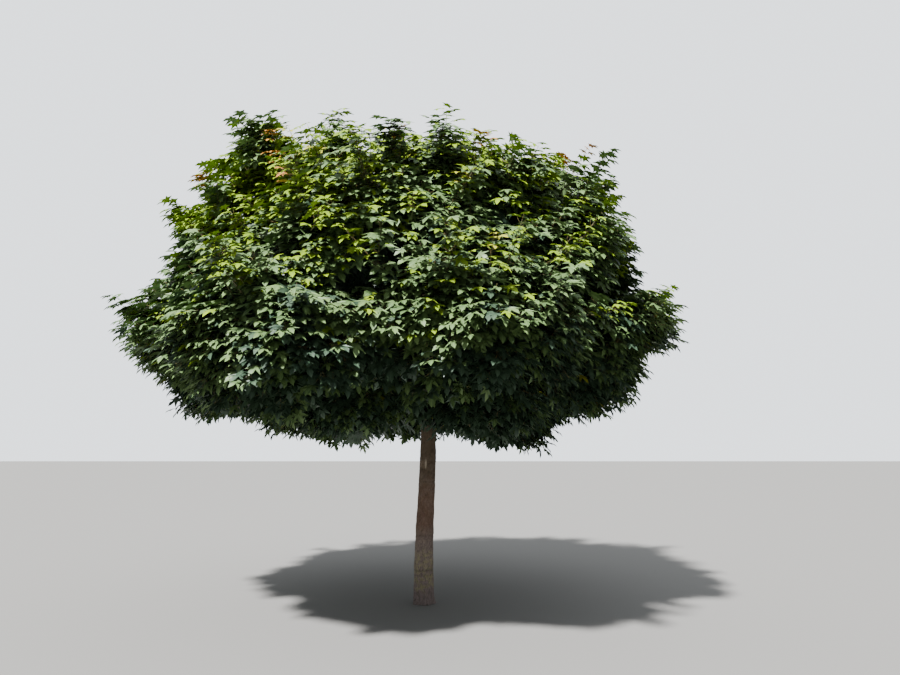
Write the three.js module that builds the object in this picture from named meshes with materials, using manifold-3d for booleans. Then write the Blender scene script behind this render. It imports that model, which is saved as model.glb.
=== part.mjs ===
// A mop-headed maple tree: one clear stem with a low fork, and a broad dome of dense foliage.
// Millimetres, +Z up, +X to the right as seen from the front, and +Y to the back.
// The origin is the middle of the flat cut under the trunk, at ground level.
import * as THREE from "three";
import { mergeVertices } from "three/addons/utils/BufferGeometryUtils.js";
import Module from "manifold-3d";

const wasm = await Module();
wasm.setup();

const seat = 0.3; // the gap where one solid meets another

const trunk = {
  height: 2200, // the top of the knuckle where the boughs part
  buttRadius: 99, // at the ground, without the root flare
  neckRadius: 77, // just under the crown
  neckHeight: 1750,
  flare: 14, // what the root flare adds to the radius at the ground
  flareHeight: 80,
  flareRoots: 5, // the ribs that run down into the ground
  ribDepth: 0.6, // how far they stand out, as a share of the flare
  knuckleRadius: 114,
  knuckleHeight: 2110,
  knuckleSpan: 210, // the length over which the stem swells into the knuckle
  knuckleSharpness: 3,
  crownSpan: 100, // how far above the knuckle's widest place the stem is rounded off
  crownLeast: 0.35, // what is left of its radius at the top
  lean: 40, // how far the stem bows to the right
  leanFrom: 350,
  leanTo: 1600,
  sides: 14,
  rings: 14,
  bunching: 0.55, // how much closer together the rings lie at both ends
};

// The foliage grows outwards from the heart. Azimuths are in degrees from +X, turning towards +Y.
const crown = {
  heart: new THREE.Vector3(-100, 0, 2700),
  uneven: 0.05, // how far the masses differ in place and size
  flatten: 1.32, // how much wider than tall a mass is, where two masses share out their space
  clearance: 16, // left free on each side of the border between two masses
  room: 1.13, // how far the leaves may stand out of their mass
  coreOut: 0.34, // how far out the core's middle lies in its mass
  coreShare: 0.65, // how far the core reaches outwards, as a share of its mass
  coreRim: 0.93, // and to the sides
  coreBack: 110, // and how thick it is towards the heart
  coreRoughness: 0.07,
  frontFacing: [-0.1, 0.6], // from the core's sides to its front, as the cosine with the way outwards
  backFacing: [-0.7, 0], // and from its back to its sides
  entry: 260, // a bough ends this far short of the core's middle
  entryStep: 0.005, // found to this share of the bough's length
};

// Rings of masses, from the ones that hang round the fork to the top of the dome. Each ring's middle is
// shifted along X. Its masses lie higher on the left by its tilt, and lower at the front and back by its dip.
// The middle of its boughs rises off the straight line. A tier with a fork has its boughs on others: the
// first at a share of the other's length, and each one after it a step further out. Each mass has so many
// leafy twigs and so many long summer shoots.
const tiers = [
  {
    name: "hem",
    place: { count: 5, azimuth: 235, height: 2130, ring: 960, shift: -120, tilt: 0, dip: 0 },
    mass: { across: 960, up: 620, sprays: 3, shoots: 0 },
    limb: { rise: 130 },
  },
  {
    name: "skirt",
    place: { count: 7, azimuth: 190, height: 2640, ring: 1600, shift: -225, tilt: 0, dip: 0 },
    mass: { across: 1230, up: 900, sprays: 7, shoots: 1 },
    limb: { rise: 110, fork: 0.1, step: 0.1 },
  },
  {
    name: "flank",
    place: { count: 6, azimuth: 204, height: 3410, ring: 1330, shift: -200, tilt: 40, dip: 60 },
    mass: { across: 1250, up: 820, sprays: 7, shoots: 1 },
    limb: { rise: 60, fork: 0.36, step: 0.1 },
  },
  {
    name: "shoulder",
    place: { count: 5, azimuth: 215, height: 4060, ring: 1160, shift: -180, tilt: 60, dip: 300 },
    mass: { across: 1110, up: 760, sprays: 6, shoots: 2 },
    limb: { rise: 200 },
  },
  {
    name: "top",
    place: { count: 3, azimuth: 200, height: 4070, ring: 480, shift: -330, tilt: 0, dip: 0 },
    mass: { across: 1060, up: 770, sprays: 5, shoots: 3 },
    limb: { rise: -60, fork: 0.5, step: 0.1 },
  },
];

const bough = {
  stemRadius: 40, // a main bough where it leaves the knuckle
  sideRadius: 29,
  leaderRadius: 27,
  forkShare: 0.8, // the most that a side bough has of its parent's radius
  tipShare: 0.5, // the radius at the core's middle, as a share of the radius at the foot
  footRing: 62, // the boughs on the trunk stand round the knuckle on this radius
  footHeight: 2090,
  leaderBow: 60, // how far the leader bows to the right
  leaderBend: 0.6, // where it bends, as a share of the way up
  sides: 6,
  steps: 4,
  samples: 12, // the places along a bough from which a leaf's distance is taken
};

const twig = {
  directions: 60, // spread all round a core; each mass takes its share of those that point at no neighbour
  baseRadius: 17,
  tipRadius: 6,
  limbClearance: 40,
  start: 0.5, // where a twig leaves the core's middle, as a share of the way out
  end: 0.2, // how far short of the mass's outside it ends, in leaf lengths
  shorter: 0.06, // and how much shorter it is at each new try
  reach: [0.95, 1], // where the leafy twigs end, as a share of their mass
  shootReach: 1.1, // and the long shoots
  shootSway: 1, // how far those lean to a side
  shootRise: [0.35, 0.65], // and upwards
};

// A leaf here stands for a spray. Its outline is one half, from the root to the tip.
const leaf = {
  length: 380,
  thickness: 0.034, // shares of the length, as are the outline's numbers
  crest: 0.42, // where it is thickest
  outline: [
    [0.44, 0.58],
    [0.6, 0.25],
  ],
  sunk: 0.14, // how deep the root of the leaf at the tip goes into its twig
  droop: 0.9, // how far a leaf hangs, against its push outwards
  lift: 0.42, // how far it stands off the mass
  roll: 0.3,
  swing: 46, // how far the leaf at the tip turns to either side
  tries: 8,
  sideAngles: [52, 112], // between the leaf at the tip and each of the pair beside it
  sideBack: 16, // how far back on the twig the pair begins
  sideStep: 10, // and how much further back it is at each new try
  sideSize: 0.9,
  shootSize: 0.6,
};

const bark = new THREE.MeshStandardMaterial({ color: 0x5b4c3d, roughness: 0.92, metalness: 0 });
const boughBark = new THREE.MeshStandardMaterial({ color: 0x4f4537, roughness: 0.9, metalness: 0 });
const foliageGreen = new THREE.MeshStandardMaterial({ color: 0x35581c, roughness: 0.5, metalness: 0 });

const up = new THREE.Vector3(0, 0, 1);
const goldenShare = (Math.sqrt(5) - 1) / 2;
const goldenAngle = Math.PI * (3 - Math.sqrt(5));
const radians = THREE.MathUtils.degToRad;

// Repeatable numbers from 0 to 1.
function seeded(seed) {
  let state = seed >>> 0;
  return () => {
    state = (Math.imul(state, 1664525) + 1013904223) >>> 0;
    return state / 4294967296;
  };
}

// The k-th of n directions spread evenly round a point.
function spread(k, n) {
  const z = 1 - (2 * k + 1) / n;
  const flat = Math.sqrt(1 - z * z);
  return new THREE.Vector3(flat * Math.cos(k * goldenAngle), flat * Math.sin(k * goldenAngle), z);
}

// Solids and geometries

function solidOf(geometry) {
  const bare = new THREE.BufferGeometry();
  bare.setAttribute("position", geometry.getAttribute("position"));
  if (geometry.index) bare.setIndex(geometry.index);
  const merged = mergeVertices(bare, 1e-3);
  return new wasm.Manifold(
    new wasm.Mesh({
      numProp: 3,
      vertProperties: new Float32Array(merged.getAttribute("position").array),
      triVerts: new Uint32Array(merged.index.array),
    }),
  );
}

function geometryOf(solid) {
  const mesh = solid.getMesh();
  const positions = new Float32Array(mesh.numVert * 3);
  for (let i = 0; i < mesh.numVert; i++) {
    positions.set(mesh.vertProperties.subarray(i * mesh.numProp, i * mesh.numProp + 3), i * 3);
  }
  const geometry = new THREE.BufferGeometry();
  geometry.setAttribute("position", new THREE.BufferAttribute(positions, 3));
  geometry.setIndex(new THREE.BufferAttribute(new Uint32Array(mesh.triVerts), 1));
  geometry.computeVertexNormals();
  return geometry;
}

function largestPiece(solid) {
  return solid.decompose().reduce((a, b) => (b.volume() > a.volume() ? b : a));
}

// Two directions square to each other and to the given one.
function acrossOf(direction) {
  const helper = Math.abs(direction.z) > 0.95 ? new THREE.Vector3(1, 0, 0) : up;
  const side = new THREE.Vector3().crossVectors(helper, direction).normalize();
  return [side, new THREE.Vector3().crossVectors(direction, side)];
}

// A cylinder bent along a curve, from one share of its length to another.
function limbGeometry(curve, from, to, radiusAt, sides, steps) {
  const geometry = new THREE.CylinderGeometry(1, 1, 1, sides, steps);
  const position = geometry.getAttribute("position");
  for (let i = 0; i < position.count; i++) {
    const share = from + (to - from) * (position.getY(i) + 0.5);
    const centre = curve.getPoint(share);
    const [side, front] = acrossOf(curve.getTangent(share));
    centre.addScaledVector(side, position.getZ(i) * radiusAt(share));
    centre.addScaledVector(front, position.getX(i) * radiusAt(share));
    position.setXYZ(i, centre.x, centre.y, centre.z);
  }
  return geometry;
}

// Trunk

function trunkCentre(z) {
  const share = THREE.MathUtils.clamp((z - trunk.leanFrom) / (trunk.leanTo - trunk.leanFrom), 0, 1);
  return (trunk.lean * (1 - Math.cos(Math.PI * share))) / 2;
}

function trunkRadius(z, turn) {
  const stem = THREE.MathUtils.lerp(trunk.buttRadius, trunk.neckRadius, Math.min(z / trunk.neckHeight, 1));
  const ribs = 1 + trunk.ribDepth * Math.cos(trunk.flareRoots * turn);
  const roots = trunk.flare * ribs * Math.exp(-z / trunk.flareHeight);
  const above = z - trunk.knuckleHeight;
  const swell = Math.exp(-trunk.knuckleSharpness * (above / trunk.knuckleSpan) ** 2);
  const knuckle = (trunk.knuckleRadius - trunk.neckRadius) * swell;
  const rounding = Math.sqrt(Math.max(0, 1 - Math.max(0, above / trunk.crownSpan) ** 2));
  return (stem + roots + knuckle) * Math.max(rounding, trunk.crownLeast);
}

// The rings lie closer together at the root flare and at the knuckle, where the shape turns quickest.
function trunkSolid(grow) {
  const geometry = new THREE.CylinderGeometry(1, 1, 1, trunk.sides, trunk.rings);
  const position = geometry.getAttribute("position");
  for (let i = 0; i < position.count; i++) {
    const share = position.getY(i) + 0.5;
    const z = trunk.height * (share - (trunk.bunching * Math.sin(2 * Math.PI * share)) / (2 * Math.PI));
    const turn = Math.atan2(position.getX(i), position.getZ(i));
    const off = Math.hypot(position.getX(i), position.getZ(i)) * (trunkRadius(z, turn) + grow);
    const x = trunkCentre(z) + off * Math.cos(turn);
    position.setXYZ(i, x, off * Math.sin(turn), share === 1 ? z + grow : z);
  }
  return solidOf(geometry);
}

// Where the masses are

function makeMasses() {
  const masses = [];
  for (const tier of tiers) {
    const { count, azimuth: first, height, ring, shift, tilt, dip } = tier.place;
    const random = seeded(masses.length + 1);
    const vary = () => crown.uneven * (2 * random() - 1);
    for (let i = 0; i < count; i++) {
      const azimuth = radians(first + (360 * i) / count);
      const out = ring * (1 + vary());
      const size = 1 + vary();
      const slope = tilt * Math.cos(azimuth) + dip * Math.sin(azimuth) ** 2;
      const z = height * (1 + vary() / 2) - slope;
      const centre = new THREE.Vector3(shift + out * Math.cos(azimuth), out * Math.sin(azimuth), z);
      const radii = new THREE.Vector3(tier.mass.across, tier.mass.across, tier.mass.up).multiplyScalar(size);
      const outward = centre.clone().sub(crown.heart).normalize();
      const coreCentre = centre.clone().addScaledVector(outward.clone().multiply(radii), crown.coreOut);
      const seed = masses.length + 1;
      const name = tier.name + "_" + (i + 1);
      masses.push({ tier, name, azimuth, centre, radii, outward, coreCentre, seed });
    }
  }
  return masses;
}

// The flat borders between a mass and the others. A point is inside where each value is under 0.
function bordersOf(mass, masses) {
  const stretch = new THREE.Vector3(1, 1, crown.flatten);
  const here = mass.centre.clone().multiply(stretch);
  return masses
    .filter((other) => other !== mass)
    .map((other) => {
      const there = other.centre.clone().multiply(stretch);
      const normal = there.clone().sub(here);
      const length = normal.length();
      const offset = (there.lengthSq() - here.lengthSq()) / 2 / length - crown.clearance;
      normal.divideScalar(length).multiply(stretch);
      return { normal, offset };
    });
}

function isInside(mass, point) {
  const share = point.clone().sub(mass.centre).divide(mass.radii).length();
  return share < crown.room && mass.borders.every((b) => b.normal.dot(point) < b.offset);
}

// How far it is from the core's middle, along a direction, to the mass's rounded outside and to its borders.
function wayOut(mass, direction, reach) {
  const start = mass.coreCentre.clone().sub(mass.centre).divide(mass.radii);
  const step = direction.clone().divide(mass.radii);
  const a = step.lengthSq();
  const b = start.dot(step);
  const outside = (-b + Math.sqrt(b * b - a * (start.lengthSq() - reach * reach))) / a;
  let border = Infinity;
  for (const { normal, offset } of mass.borders) {
    const climb = normal.dot(direction);
    if (climb > 0) border = Math.min(border, (offset - normal.dot(mass.coreCentre)) / climb);
  }
  return { outside, border };
}

// Boughs

// The main boughs rise from the knuckle to the shoulder masses, short ones hang to the hem, and a slender
// leader goes up to the top of the dome. The other tops fork from it, and the skirt's and the flank's boughs
// from the main bough that is nearest in azimuth.
function makeLimbs(masses) {
  const limbs = [];
  const ofTier = (name) => masses.filter((m) => m.tier.name === name);
  const foot = (azimuth, ring) =>
    new THREE.Vector3(
      trunkCentre(trunk.height) + ring * Math.cos(azimuth),
      ring * Math.sin(azimuth),
      bough.footHeight,
    );
  const addLimb = (mass, start, middle, radius) => {
    const curve = new THREE.QuadraticBezierCurve3(start, middle, mass.coreCentre.clone());
    let end = 1;
    while (curve.getPoint(end).distanceTo(mass.coreCentre) < crown.entry) end -= crown.entryStep;
    const radiusAt = (share) => THREE.MathUtils.lerp(radius, radius * bough.tipShare, share);
    const limb = { mass, curve, end, radiusAt, name: mass.name };
    limbs.push(limb);
    return limb;
  };
  const archTo = (mass, start, radius) => {
    const middle = start.clone().lerp(mass.coreCentre, 0.5);
    middle.z += mass.tier.limb.rise;
    return addLimb(mass, start, middle, radius);
  };
  const forkTo = (mass, parent, place) => {
    const { fork, step } = mass.tier.limb;
    const share = fork + step * place;
    const radius = Math.min(bough.sideRadius, parent.radiusAt(share) * bough.forkShare);
    return archTo(mass, parent.curve.getPoint(share), radius);
  };

  const mains = ofTier("shoulder").map((m) => archTo(m, foot(m.azimuth, bough.footRing), bough.stemRadius));
  for (const mass of ofTier("hem")) archTo(mass, foot(mass.azimuth, bough.footRing), bough.sideRadius);

  const [firstTop, ...otherTops] = ofTier("top");
  const leaderFoot = foot(0, 0);
  const leaderMiddle = leaderFoot.clone().lerp(firstTop.coreCentre, bough.leaderBend);
  leaderMiddle.setX(leaderFoot.x + bough.leaderBow).setY(leaderFoot.y);
  const leader = addLimb(firstTop, leaderFoot, leaderMiddle, bough.leaderRadius);
  otherTops.forEach((mass, i) => forkTo(mass, leader, i));

  const nearness = (main, mass) => Math.cos(main.mass.azimuth - mass.azimuth);
  for (const name of ["skirt", "flank"]) {
    const taken = new Map(mains.map((main) => [main, 0]));
    for (const mass of ofTier(name)) {
      const main = mains.reduce((a, b) => (nearness(b, mass) > nearness(a, mass) ? b : a));
      forkTo(mass, main, taken.get(main));
      taken.set(main, taken.get(main) + 1);
    }
  }
  return limbs;
}

function limbSolid(limb, grow) {
  const radiusAt = (share) => limb.radiusAt(share) + grow;
  return solidOf(limbGeometry(limb.curve, 0, limb.end, radiusAt, bough.sides, bough.steps));
}

// Each bough is cut to sit on the trunk or on the bough that carries it.
function cutLimbs(limbs, grownTrunk) {
  const grown = [];
  for (const limb of limbs) {
    let solid = limbSolid(limb, 0).subtract(grownTrunk);
    for (const other of grown) solid = solid.subtract(other);
    limb.solid = largestPiece(solid);
    limb.grown = limbSolid(limb, seat);
    grown.push(limb.grown);
  }
}

function distanceToLimb(limb, point) {
  let nearest = Infinity;
  for (let i = 0; i <= bough.samples; i++) {
    const share = (limb.end * i) / bough.samples;
    nearest = Math.min(nearest, limb.curve.getPoint(share).distanceTo(point) - limb.radiusAt(share));
  }
  return nearest;
}

// Foliage

// A rough cap under the mass's rounded outside, flatter towards the heart.
function coreSolid(mass, random) {
  const geometry = new THREE.IcosahedronGeometry(1, 1);
  geometry.deleteAttribute("normal");
  geometry.deleteAttribute("uv");
  const ball = mergeVertices(geometry);
  const position = ball.getAttribute("position");
  for (let i = 0; i < position.count; i++) {
    const direction = new THREE.Vector3().fromBufferAttribute(position, i).normalize();
    const facing = direction.dot(mass.outward);
    const front = THREE.MathUtils.smoothstep(facing, ...crown.frontFacing);
    const back = THREE.MathUtils.smoothstep(facing, ...crown.backFacing);
    const share = THREE.MathUtils.lerp(crown.coreRim, crown.coreShare, front);
    const { outside, border } = wayOut(mass, direction, share);
    const thickness = THREE.MathUtils.lerp(crown.coreBack, outside, back);
    const length = Math.min(thickness * (1 + crown.coreRoughness * (2 * random() - 1)), border);
    const point = mass.coreCentre.clone().addScaledVector(direction, length);
    position.setXYZ(i, point.x, point.y, point.z);
  }
  return solidOf(ball);
}

// A thin star with three points, its root at the origin and its tip along +X.
function leafGeometry(length) {
  const half = leaf.outline.map(([x, y]) => [x * length, y * length]);
  const ring = [[0, 0], ...half, [length, 0], ...half.map(([x, y]) => [x, -y]).reverse()];
  const thick = (leaf.thickness * length) / 2;
  const crests = [thick, -thick].map((z) => [leaf.crest * length, 0, z]);
  const points = [...ring.map(([x, y]) => [x, y, 0]), ...crests];
  const index = [];
  ring.forEach((_, i) => {
    const next = (i + 1) % ring.length;
    index.push(next, i, ring.length, i, next, ring.length + 1);
  });
  const geometry = new THREE.BufferGeometry();
  geometry.setAttribute("position", new THREE.Float32BufferAttribute(points.flat(), 3));
  geometry.setIndex(index);
  return geometry;
}

// A leaf whose root is at a point, whose tip lies along a direction and which turns its face to another.
function placeLeaf(root, direction, facing, length, sunk, roll) {
  const side = new THREE.Vector3().crossVectors(facing, direction).normalize();
  side.applyAxisAngle(direction, roll);
  const face = new THREE.Vector3().crossVectors(direction, side);
  const matrix = new THREE.Matrix4().makeBasis(direction, side, face);
  matrix.setPosition(root.clone().addScaledVector(direction, -sunk));
  return leafGeometry(length).applyMatrix4(matrix);
}

function cornersOf(geometry) {
  const position = geometry.getAttribute("position");
  const corner = (_, i) => new THREE.Vector3().fromBufferAttribute(position, i);
  return Array.from({ length: position.count }, corner);
}

function twigGeometry(from, to) {
  const line = new THREE.LineCurve3(from, to);
  const radiusAt = (share) => THREE.MathUtils.lerp(twig.baseRadius, twig.tipRadius, share);
  return limbGeometry(line, 0, 1, radiusAt, 3, 1);
}

function boxesMeet(a, b) {
  return [0, 1, 2].every((i) => a.min[i] < b.max[i] && b.min[i] < a.max[i]);
}

function meets(solid, others) {
  const box = solid.boundingBox();
  return others.some((other) => boxesMeet(box, other.boundingBox()) && !solid.intersect(other).isEmpty());
}

// The twigs of a mass run out from its core, and each carries a leaf at its tip and a pair beside it. A leaf
// that would leave the mass's own space or cross a bough, the core or another leaf is turned a little, and
// left out if it still does.
function foliageSolids(mass, limbs, core, random) {
  const twigs = [];
  const leaves = [];
  const between = ([low, high]) => THREE.MathUtils.lerp(low, high, random());
  const isFree = (geometry) => {
    const corners = cornersOf(geometry);
    return (
      corners.every((corner) => isInside(mass, corner)) &&
      limbs.every((limb) => corners.every((corner) => distanceToLimb(limb, corner) > twig.limbClearance))
    );
  };
  const leafThatFits = (root, sunk, aim, facing, length) => {
    const geometry = placeLeaf(root, aim, facing, length, sunk, between([-leaf.roll, leaf.roll]));
    if (!isFree(geometry)) return null;
    const solid = solidOf(geometry);
    return meets(solid, [core, ...leaves]) ? null : solid;
  };

  const addSpray = (direction, reach, size, sides) => {
    const length = leaf.length * size;
    const { outside, border } = wayOut(mass, direction, reach);
    if (border < outside) return false;
    const place = (distance) => mass.coreCentre.clone().addScaledVector(direction, distance);
    const pull = direction.clone().setZ(0).normalize().addScaledVector(up, -leaf.droop);
    const along = pull.addScaledVector(direction, -pull.dot(direction)).normalize();
    const hanging = (degrees) => {
      const turned = along.clone().applyAxisAngle(direction, radians(degrees));
      return turned.addScaledVector(direction, leaf.lift).normalize();
    };

    for (let turn = 0; turn < leaf.tries; turn++) {
      const out = outside - (twig.end + twig.shorter * turn) * length;
      const shaft = twigGeometry(place(twig.start * outside), place(out));
      if (!isFree(shaft)) continue;
      const solid = solidOf(shaft);
      if (meets(solid, leaves)) continue;
      const aim = hanging(between([-leaf.swing, leaf.swing]));
      const first = leafThatFits(place(out), leaf.sunk * length, aim, direction, length);
      if (!first) continue;
      twigs.push(solid);
      leaves.push(first);
      for (const side of sides) {
        for (let again = 0; again < leaf.tries; again++) {
          const root = place(out - (leaf.sideBack + leaf.sideStep * again) * (side + 2));
          const sideAim = hanging(side * between(leaf.sideAngles));
          const sideLeaf = leafThatFits(root, 0, sideAim, direction, length * leaf.sideSize);
          if (!sideLeaf) continue;
          leaves.push(sideLeaf);
          break;
        }
      }
      return true;
    }
    return false;
  };

  const open = Array.from({ length: twig.directions }, (_, k) =>
    spread(k, twig.directions).applyAxisAngle(up, mass.seed),
  ).filter((direction) => {
    const { outside, border } = wayOut(mass, direction, 1);
    return outside < border;
  });
  let wanted = mass.tier.mass.sprays;
  for (let k = 0; k < open.length && wanted > 0; k++) {
    const direction = open[Math.floor(((k * goldenShare) % 1) * open.length)];
    if (addSpray(direction, between(twig.reach), 1, [-1, 1])) wanted--;
  }
  for (let k = 0; k < mass.tier.mass.shoots; k++) {
    const sway = () => twig.shootSway * (random() - 0.5);
    const lean = new THREE.Vector3(sway(), sway(), between(twig.shootRise));
    addSpray(mass.outward.clone().add(lean).normalize(), twig.shootReach, leaf.shootSize, []);
  }
  return [...twigs, ...leaves];
}

function massSolid(mass, limbs) {
  const random = seeded(mass.seed * 7919);
  const limb = limbs.find((l) => l.mass === mass);
  const from = limb.end + seat / limb.curve.getLength();
  const stem = solidOf(limbGeometry(limb.curve, from, 1, limb.radiusAt, bough.sides - 1, 2));
  let core = coreSolid(mass, random);
  for (const other of limbs) core = core.subtract(other.grown);
  core = largestPiece(core);
  return largestPiece([core, stem, ...foliageSolids(mass, limbs, core, random)].reduce((a, b) => a.add(b)));
}

// The whole tree

const tree = new THREE.Group();

function addNode(name, solid, material) {
  const mesh = new THREE.Mesh(geometryOf(solid), material);
  mesh.name = name;
  tree.add(mesh);
}

const masses = makeMasses();
for (const mass of masses) mass.borders = bordersOf(mass, masses);
const limbs = makeLimbs(masses);
cutLimbs(limbs, trunkSolid(seat));

addNode("trunk", trunkSolid(0), bark);
for (const limb of limbs) addNode("bough_" + limb.name, limb.solid, boughBark);
for (const mass of masses) addNode("foliage_" + mass.name, massSolid(mass, limbs), foliageGreen);

export default tree;
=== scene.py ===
import math

import bmesh
import bpy
import numpy as np
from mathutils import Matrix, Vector, noise


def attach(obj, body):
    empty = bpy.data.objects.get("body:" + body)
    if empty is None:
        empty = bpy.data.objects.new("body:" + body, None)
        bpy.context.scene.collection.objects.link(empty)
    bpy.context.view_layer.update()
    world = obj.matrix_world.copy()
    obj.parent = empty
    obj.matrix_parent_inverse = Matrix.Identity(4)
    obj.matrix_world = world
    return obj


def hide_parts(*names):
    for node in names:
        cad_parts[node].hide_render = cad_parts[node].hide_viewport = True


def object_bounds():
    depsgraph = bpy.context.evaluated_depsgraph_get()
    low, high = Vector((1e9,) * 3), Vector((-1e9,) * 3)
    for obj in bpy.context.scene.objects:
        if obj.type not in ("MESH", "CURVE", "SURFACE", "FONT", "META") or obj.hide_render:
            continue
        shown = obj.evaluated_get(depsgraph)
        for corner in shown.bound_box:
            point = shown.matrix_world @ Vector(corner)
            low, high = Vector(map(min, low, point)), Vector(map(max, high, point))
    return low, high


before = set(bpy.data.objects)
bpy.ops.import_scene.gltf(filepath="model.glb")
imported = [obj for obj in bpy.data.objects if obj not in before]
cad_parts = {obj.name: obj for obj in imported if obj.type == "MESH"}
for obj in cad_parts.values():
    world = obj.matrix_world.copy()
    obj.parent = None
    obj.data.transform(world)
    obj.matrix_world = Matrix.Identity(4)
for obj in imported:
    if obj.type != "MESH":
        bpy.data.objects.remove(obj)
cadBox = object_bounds()

# The rule that the model's own source follows, in metres: where the masses are, and how the boughs go there

trunk = {
    "height": 2.2,
    "buttRadius": 0.099,
    "neckRadius": 0.077,
    "neckHeight": 1.75,
    "flare": 0.014,
    "flareHeight": 0.08,
    "flareRoots": 5,
    "ribDepth": 0.6,
    "knuckleRadius": 0.114,
    "knuckleHeight": 2.11,
    "knuckleSpan": 0.21,
    "knuckleSharpness": 3,
    "crownSpan": 0.1,
    "crownLeast": 0.35,
    "lean": 0.04,
    "leanSpan": (0.35, 1.6),
}

crown = {
    "heart": np.array([-0.1, 0.0, 2.7]),
    "uneven": 0.05,
    "coreOut": 0.34,
    "middle": {"centre": np.array([-0.18, 0.0, 3.05]), "radii": np.array([2.2, 2.2, 1.36])},
    "entry": 0.26,
    "entryStep": 0.005,
}

# at: count, first azimuth, height, ring, shift, tilt, dip; mass: across and up; limb: rise, fork and step
tiers = {
    "hem": {"at": (5, 235, 2.13, 0.96, -0.12, 0, 0), "mass": (0.96, 0.62), "limb": (0.13,)},
    "skirt": {"at": (7, 190, 2.64, 1.6, -0.225, 0, 0), "mass": (1.23, 0.9), "limb": (0.11, 0.1, 0.1)},
    "flank": {"at": (6, 204, 3.41, 1.33, -0.2, 0.04, 0.06), "mass": (1.25, 0.82), "limb": (0.06, 0.36, 0.1)},
    "shoulder": {"at": (5, 215, 4.06, 1.16, -0.18, 0.06, 0.3), "mass": (1.11, 0.76), "limb": (0.2,)},
    "top": {"at": (3, 200, 4.07, 0.48, -0.33, 0, 0), "mass": (1.06, 0.77), "limb": (-0.06, 0.5, 0.1)},
}

bough = {
    "stemRadius": 0.04,
    "sideRadius": 0.029,
    "leaderRadius": 0.027,
    "forkShare": 0.8,
    "tipShare": 0.5,
    "footRing": 0.062,
    "footHeight": 2.09,
    "leaderBow": 0.06,
    "leaderBend": 0.6,
}

upward = np.array([0.0, 0.0, 1.0])
goldenAngle = math.pi * (3 - math.sqrt(5))


def seeded(seed):
    state = [seed & 0xFFFFFFFF]

    def draw():
        state[0] = (state[0] * 1664525 + 1013904223) & 0xFFFFFFFF
        return state[0] / 4294967296

    return draw


def unit(v):
    return v / np.maximum(np.linalg.norm(v, axis=-1, keepdims=True), 1e-9)


def lengths(v):
    return np.linalg.norm(v, axis=-1)


def smooth(low, high, x):
    t = np.clip((x - low) / (high - low), 0, 1)
    return t * t * (3 - 2 * t)


def spreadAll(count):
    k = np.arange(count)
    z = 1 - (2 * k + 1) / count
    flat = np.sqrt(1 - z * z)
    angle = k * goldenAngle
    return np.stack([flat * np.cos(angle), flat * np.sin(angle), z], axis=1)


def makeMasses():
    found = []
    for tierName, tier in tiers.items():
        count, first, height, ring, shift, tilt, dip = tier["at"]
        across, upSize = tier["mass"]
        random = seeded(len(found) + 1)

        def vary():
            return crown["uneven"] * (2 * random() - 1)

        for i in range(count):
            azimuth = math.radians(first + 360 * i / count)
            out = ring * (1 + vary())
            size = 1 + vary()
            slope = tilt * math.cos(azimuth) + dip * math.sin(azimuth) ** 2
            z = height * (1 + vary() / 2) - slope
            centre = np.array([shift + out * math.cos(azimuth), out * math.sin(azimuth), z])
            radii = np.array([across, across, upSize]) * size
            core = centre + unit(centre - crown["heart"]) * radii * crown["coreOut"]
            mass = {"tier": tierName, "name": f"{tierName}_{i + 1}", "azimuth": azimuth}
            found.append(mass | {"centre": centre, "radii": radii, "coreCentre": core})
    return found


def trunkCentre(z):
    low, high = trunk["leanSpan"]
    share = min(max((z - low) / (high - low), 0), 1)
    return trunk["lean"] * (1 - math.cos(math.pi * share)) / 2


def trunkRadius(z, turn):
    share = min(z / trunk["neckHeight"], 1)
    stem = trunk["buttRadius"] + (trunk["neckRadius"] - trunk["buttRadius"]) * share
    ribs = 1 + trunk["ribDepth"] * math.cos(trunk["flareRoots"] * turn)
    roots = trunk["flare"] * ribs * math.exp(-z / trunk["flareHeight"])
    above = z - trunk["knuckleHeight"]
    swell = math.exp(-trunk["knuckleSharpness"] * (above / trunk["knuckleSpan"]) ** 2)
    knuckle = (trunk["knuckleRadius"] - trunk["neckRadius"]) * swell
    rounding = math.sqrt(max(0, 1 - max(0, above / trunk["crownSpan"]) ** 2))
    return (stem + roots + knuckle) * max(rounding, trunk["crownLeast"])


def alongCurve(limb, share):
    s = np.atleast_1d(share)[:, None]
    return (1 - s) ** 2 * limb["start"] + 2 * s * (1 - s) * limb["middle"] + s * s * limb["goal"]


def radiusOn(limb, share):
    return limb["radius"] * (1 + (bough["tipShare"] - 1) * share)


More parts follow.
